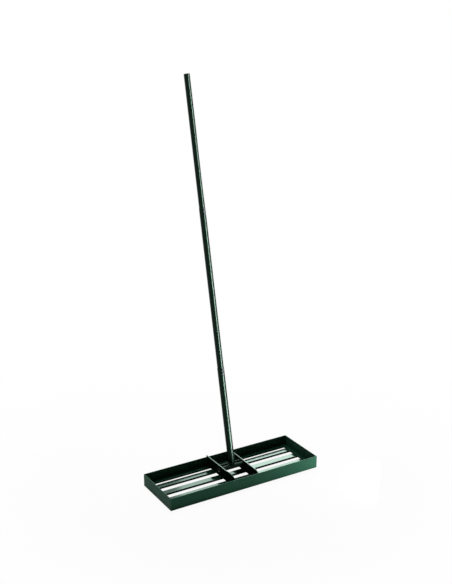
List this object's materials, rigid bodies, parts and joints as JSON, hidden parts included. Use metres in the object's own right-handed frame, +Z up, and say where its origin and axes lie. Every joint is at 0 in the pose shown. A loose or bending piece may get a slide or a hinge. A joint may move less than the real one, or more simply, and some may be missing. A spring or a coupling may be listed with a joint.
{
  "type": "lawn leveling rake",
  "caption": "Lawn leveling rake: shallow steel tray with a floor of open channels, and a long bolted tube handle hinged between two cross plates.",
  "frame": {"origin": "on the ground, under the middle of the whole rake's bounding box with the handle at its rest lean", "axes": "+X along the tray to the right, +Y towards the back, where the handle leans, +Z up"},
  "size_m": [0.762, 0.5252, 1.7689],
  "materials": {
    "green_powder_coat": "semi-gloss dark green powder coat",
    "blackened_steel": "black zinc plate on steel",
    "black_plastic": "moulded, fine grain"
  },
  "bodies": {
    "base": {"front_wall": "green_powder_coat", "back_wall": "green_powder_coat", "left_wall": "green_powder_coat", "right_wall": "green_powder_coat", "front_ledge": "green_powder_coat", "back_ledge": "green_powder_coat", "left_ledge": "green_powder_coat", "right_ledge": "green_powder_coat", "slat_front": "green_powder_coat", "slat_middle": "green_powder_coat", "slat_back": "green_powder_coat", "left_cross_plate": "green_powder_coat", "right_cross_plate": "green_powder_coat", "pivot_bolt": "blackened_steel", "pivot_nut": "blackened_steel", "pivot_washers": "blackened_steel", "stop_bar": "green_powder_coat"},
    "handle": {"pole_foot": "green_powder_coat", "lower_tube": "green_powder_coat", "middle_tube": "green_powder_coat", "upper_tube": "green_powder_coat", "end_cap": "black_plastic", "lower_joint_bolts": "blackened_steel", "lower_joint_nuts": "blackened_steel", "lower_joint_saddles": "blackened_steel", "upper_joint_bolts": "blackened_steel", "upper_joint_nuts": "blackened_steel", "upper_joint_saddles": "blackened_steel"}
  },
  "joints": [
    {"name": "handle_pivot", "type": "hinge", "parent": "base", "child": "handle", "pos_m": [0, -0.13412, 0.0495], "axis": [1, 0, 0], "range_deg": [0, 91]}
  ]
}
